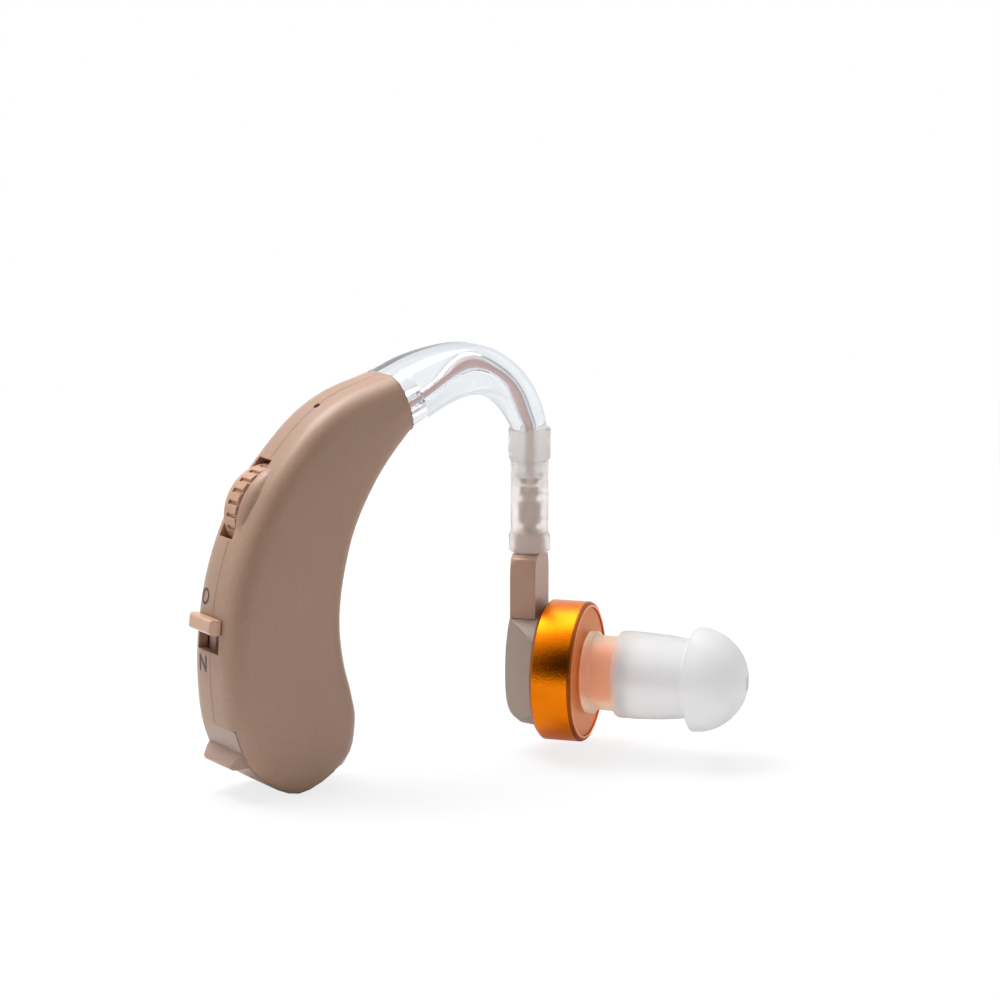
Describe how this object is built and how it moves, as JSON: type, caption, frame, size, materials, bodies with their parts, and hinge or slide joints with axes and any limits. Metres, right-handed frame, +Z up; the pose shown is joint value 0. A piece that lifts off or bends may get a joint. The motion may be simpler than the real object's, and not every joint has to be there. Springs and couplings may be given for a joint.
{
  "type": "behind the ear hearing aid",
  "caption": "Crescent hearing aid with a clear ear hook, volume wheel, on-off slider, hinged battery door and a receiver with a soft domed ear tip.",
  "frame": {"origin": "lowest point of the ear hook's arch above the ear, where it rests on the root of the ear, on the middle plane of the housing", "axes": "+Z up, +X from the housing towards the receiver, +Y out of the housing's left shell, away from the side that the picture shows"},
  "size_m": [0.0583, 0.0248, 0.0455],
  "materials": {
    "skin": "fine satin moulded plastic",
    "neck": "satin moulded plastic",
    "slider": "gloss moulded plastic",
    "clear": "clear polished plastic",
    "lead": "smooth insulated lead",
    "sleeve": "translucent silicone",
    "silicone": "milky silicone",
    "taupe": "satin moulded plastic",
    "anodised": "polished orange anodised aluminium",
    "face": "satin copper coloured plate",
    "nozzle": "gloss orange plastic",
    "steel": "bright steel",
    "contact": "gold plated spring strip",
    "winding": "enamelled copper winding",
    "film": "thin formed film",
    "board": "green solder mask",
    "ceramic": "ceramic blocks",
    "black": "black moulding compound",
    "boot": "black rubber"
  },
  "bodies": {
    "housing": {"right_shell": "skin", "left_shell": "skin", "ear_hook": "clear", "receiver_lead": "lead", "tube_sleeve": "sleeve", "circuit_board": "board", "amplifier_chip": "black", "capacitors": "ceramic", "microphone": "steel", "microphone_boot": "boot", "volume_base": "black", "volume_axle": "steel", "switch_body": "steel", "positive_contact": "contact", "negative_contact": "contact", "hinge_pin": "steel"},
    "volume": {"volume_wheel": "skin", "volume_wiper": "contact"},
    "slider": {"switch_knob": "slider", "switch_bridge": "contact"},
    "door": {"battery_door": "skin", "cell_can": "steel", "cell_gasket": "boot", "cell_cap": "steel"},
    "receiver": {"receiver_neck": "neck", "receiver_cup": "taupe", "receiver_ring": "anodised", "receiver_face": "face", "receiver_nozzle": "nozzle", "driver_yoke": "steel", "driver_magnet": "steel", "voice_coil": "winding", "diaphragm": "film", "sound_mesh": "steel"},
    "tip": {"ear_tip": "silicone"}
  },
  "joints": [
    {"name": "volume_turn", "type": "hinge", "parent": "housing", "child": "volume", "pos_m": [-0.02476, 0, -0.0106], "axis": [0, 1, 0], "range_deg": [-135, 135]},
    {"name": "switch_slide", "type": "slide", "parent": "housing", "child": "slider", "axis": [-0.0885, 0, -0.9961], "range_m": [0, 0.0023]},
    {"name": "door_swing", "type": "hinge", "parent": "housing", "child": "door", "pos_m": [-0.01955, 0, -0.03689], "axis": [0, -1, 0], "range_deg": [0, 80]},
    {"name": "receiver_swivel", "type": "hinge", "parent": "housing", "child": "receiver", "pos_m": [0.00645, 0, -0.01808], "axis": [0, 0, 1], "range_deg": [-90, 90]},
    {"name": "ear_tip_pull", "type": "slide", "parent": "receiver", "child": "tip", "axis": [0.6587, -0.7524, 0], "range_m": [0, 0.006]}
  ]
}
